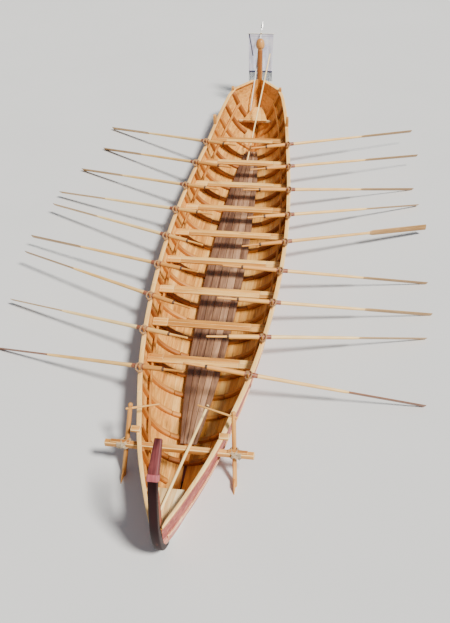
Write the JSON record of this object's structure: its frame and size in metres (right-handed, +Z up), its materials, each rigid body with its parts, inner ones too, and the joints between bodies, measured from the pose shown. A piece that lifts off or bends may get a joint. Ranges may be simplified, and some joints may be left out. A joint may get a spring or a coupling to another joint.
{
  "type": "river rowing boat",
  "caption": "Open wooden river boat with tall curved end posts, paired oars on thole pins, rowing thwarts, two quarter rudders on a cross beam and a square standard at the bow.",
  "frame": {"origin": "on the waterline amidships, in the boat's middle plane", "axes": "+Y to the bow, +X to starboard, +Z up"},
  "size_m": [8.958, 15.4376, 2.9301],
  "materials": {
    "pine": "planed and oiled softwood",
    "gunwale_wood": "pale weathered softwood",
    "frame_wood": "oiled orange-brown hardwood",
    "floor_wood": "worn brown boards",
    "post_wood": "varnished golden hardwood",
    "oar_wood": "pale shaved softwood",
    "red_paint": "weathered red paint on planks",
    "dark_red_paint": "dark red paint on timber",
    "bottom_paint": "pale grey-green bottom paint",
    "cloth": "plain woven linen with dark borders"
  },
  "bodies": {
    "hull": {"bottom_planking_port": "bottom_paint", "bottom_planking_starboard": "bottom_paint", "side_planking_port": "red_paint", "side_planking_starboard": "red_paint", "sheer_strake_port": "red_paint", "sheer_strake_starboard": "red_paint", "wale_port": "pine", "wale_starboard": "pine", "keel": "dark_red_paint", "bow_post": "post_wood", "stern_post": "dark_red_paint", "gunwale_port": "gunwale_wood", "gunwale_starboard": "gunwale_wood", "floor_timbers": "frame_wood", "side_frames_port": "frame_wood", "side_frames_starboard": "frame_wood", "thwart_1": "pine", "thwart_2": "pine", "thwart_3": "pine", "thwart_4": "pine", "thwart_5": "pine", "thwart_6": "pine", "thwart_7": "pine", "thwart_8": "pine", "thwart_9": "pine", "floorboards": "floor_wood", "stern_deck": "pine", "bow_deck": "pine", "rudder_beam": "pine", "rudder_chock_port": "pine", "rudder_chock_starboard": "pine", "standard_pole": "pine", "standard_crossbar": "pine", "standard_cloth": "cloth", "boathook_bow": "oar_wood", "boathook_stern": "oar_wood"},
    "port_rudder": {"rudder_port": "pine", "tiller_port": "pine"},
    "starboard_rudder": {"rudder_starboard": "pine", "tiller_starboard": "pine"},
    "port_oar_1": {"oar_port_1": "oar_wood"},
    "port_oar_2": {"oar_port_2": "oar_wood"},
    "port_oar_3": {"oar_port_3": "oar_wood"},
    "port_oar_4": {"oar_port_4": "oar_wood"},
    "port_oar_5": {"oar_port_5": "oar_wood"},
    "port_oar_6": {"oar_port_6": "oar_wood"},
    "port_oar_7": {"oar_port_7": "oar_wood"},
    "port_oar_8": {"oar_port_8": "oar_wood"},
    "port_oar_9": {"oar_port_9": "oar_wood"},
    "starboard_oar_1": {"oar_starboard_1": "oar_wood"},
    "starboard_oar_2": {"oar_starboard_2": "oar_wood"},
    "starboard_oar_3": {"oar_starboard_3": "oar_wood"},
    "starboard_oar_4": {"oar_starboard_4": "oar_wood"},
    "starboard_oar_5": {"oar_starboard_5": "oar_wood"},
    "starboard_oar_6": {"oar_starboard_6": "oar_wood"},
    "starboard_oar_7": {"oar_starboard_7": "oar_wood"},
    "starboard_oar_8": {"oar_starboard_8": "oar_wood"},
    "starboard_oar_9": {"oar_starboard_9": "oar_wood"}
  },
  "joints": [
    {"name": "rudder_port_turn", "type": "hinge", "parent": "hull", "child": "port_rudder", "pos_m": [-0.866, -5.1, 1.054], "axis": [0.0671, 0.5537, 0.83], "range_deg": [-35, 35]},
    {"name": "rudder_starboard_turn", "type": "hinge", "parent": "hull", "child": "starboard_rudder", "pos_m": [0.866, -5.1, 1.054], "axis": [-0.0671, 0.5537, 0.83], "range_deg": [-35, 35]},
    {"name": "port_oar_1_sweep", "type": "hinge", "parent": "hull", "child": "port_oar_1", "pos_m": [-1.035, 3.8954, 0.69], "axis": [0, 0, -1], "range_deg": [-45, 8]},
    {"name": "port_oar_2_sweep", "type": "hinge", "parent": "hull", "child": "port_oar_2", "pos_m": [-1.135, 2.8958, 0.672], "axis": [0, 0, -1], "range_deg": [-45, 8]},
    {"name": "port_oar_3_sweep", "type": "hinge", "parent": "hull", "child": "port_oar_3", "pos_m": [-1.215, 1.9017, 0.665], "axis": [0, 0, -1], "range_deg": [-45, 8]},
    {"name": "port_oar_4_sweep", "type": "hinge", "parent": "hull", "child": "port_oar_4", "pos_m": [-1.27, 0.9104, 0.664], "axis": [0, 0, -1], "range_deg": [-45, 8]},
    {"name": "port_oar_5_sweep", "type": "hinge", "parent": "hull", "child": "port_oar_5", "pos_m": [-1.29, -0.0983, 0.67], "axis": [0, 0, -1], "range_deg": [-45, 8]},
    {"name": "port_oar_6_sweep", "type": "hinge", "parent": "hull", "child": "port_oar_6", "pos_m": [-1.275, -1.0892, 0.682], "axis": [0, 0, -1], "range_deg": [-45, 8]},
    {"name": "port_oar_7_sweep", "type": "hinge", "parent": "hull", "child": "port_oar_7", "pos_m": [-1.22, -2.0964, 0.699], "axis": [0, 0, -1], "range_deg": [-45, 8]},
    {"name": "port_oar_8_sweep", "type": "hinge", "parent": "hull", "child": "port_oar_8", "pos_m": [-1.125, -3.0899, 0.723], "axis": [0, 0, -1], "range_deg": [-45, 8]},
    {"name": "port_oar_9_sweep", "type": "hinge", "parent": "hull", "child": "port_oar_9", "pos_m": [-0.98, -4.0827, 0.753], "axis": [0, 0, -1], "range_deg": [-45, 8]},
    {"name": "starboard_oar_1_sweep", "type": "hinge", "parent": "hull", "child": "starboard_oar_1", "pos_m": [1.035, 3.9051, 0.69], "axis": [0, 0, 1], "range_deg": [-45, 8]},
    {"name": "starboard_oar_2_sweep", "type": "hinge", "parent": "hull", "child": "starboard_oar_2", "pos_m": [1.135, 2.9066, 0.672], "axis": [0, 0, 1], "range_deg": [-45, 8]},
    {"name": "starboard_oar_3_sweep", "type": "hinge", "parent": "hull", "child": "starboard_oar_3", "pos_m": [1.215, 1.9059, 0.665], "axis": [0, 0, 1], "range_deg": [-45, 8]},
    {"name": "starboard_oar_4_sweep", "type": "hinge", "parent": "hull", "child": "starboard_oar_4", "pos_m": [1.27, 0.8981, 0.664], "axis": [0, 0, 1], "range_deg": [-45, 8]},
    {"name": "starboard_oar_5_sweep", "type": "hinge", "parent": "hull", "child": "starboard_oar_5", "pos_m": [1.29, -0.0976, 0.67], "axis": [0, 0, 1], "range_deg": [-45, 8]},
    {"name": "starboard_oar_6_sweep", "type": "hinge", "parent": "hull", "child": "starboard_oar_6", "pos_m": [1.275, -1.0793, 0.682], "axis": [0, 0, 1], "range_deg": [-45, 8]},
    {"name": "starboard_oar_7_sweep", "type": "hinge", "parent": "hull", "child": "starboard_oar_7", "pos_m": [1.22, -2.0793, 0.699], "axis": [0, 0, 1], "range_deg": [-45, 8]},
    {"name": "starboard_oar_8_sweep", "type": "hinge", "parent": "hull", "child": "starboard_oar_8", "pos_m": [1.125, -3.0864, 0.723], "axis": [0, 0, 1], "range_deg": [-45, 8]},
    {"name": "starboard_oar_9_sweep", "type": "hinge", "parent": "hull", "child": "starboard_oar_9", "pos_m": [0.98, -4.07, 0.753], "axis": [0, 0, 1], "range_deg": [-45, 8]}
  ],
  "couplings": [
    {"joint": "port_oar_2_sweep", "follows": "port_oar_1_sweep", "ratio": 1},
    {"joint": "port_oar_3_sweep", "follows": "port_oar_1_sweep", "ratio": 1},
    {"joint": "port_oar_4_sweep", "follows": "port_oar_1_sweep", "ratio": 1},
    {"joint": "port_oar_5_sweep", "follows": "port_oar_1_sweep", "ratio": 1},
    {"joint": "port_oar_6_sweep", "follows": "port_oar_1_sweep", "ratio": 1},
    {"joint": "port_oar_7_sweep", "follows": "port_oar_1_sweep", "ratio": 1},
    {"joint": "port_oar_8_sweep", "follows": "port_oar_1_sweep", "ratio": 1},
    {"joint": "port_oar_9_sweep", "follows": "port_oar_1_sweep", "ratio": 1},
    {"joint": "starboard_oar_2_sweep", "follows": "starboard_oar_1_sweep", "ratio": 1},
    {"joint": "starboard_oar_3_sweep", "follows": "starboard_oar_1_sweep", "ratio": 1},
    {"joint": "starboard_oar_4_sweep", "follows": "starboard_oar_1_sweep", "ratio": 1},
    {"joint": "starboard_oar_5_sweep", "follows": "starboard_oar_1_sweep", "ratio": 1},
    {"joint": "starboard_oar_6_sweep", "follows": "starboard_oar_1_sweep", "ratio": 1},
    {"joint": "starboard_oar_7_sweep", "follows": "starboard_oar_1_sweep", "ratio": 1},
    {"joint": "starboard_oar_8_sweep", "follows": "starboard_oar_1_sweep", "ratio": 1},
    {"joint": "starboard_oar_9_sweep", "follows": "starboard_oar_1_sweep", "ratio": 1}
  ]
}
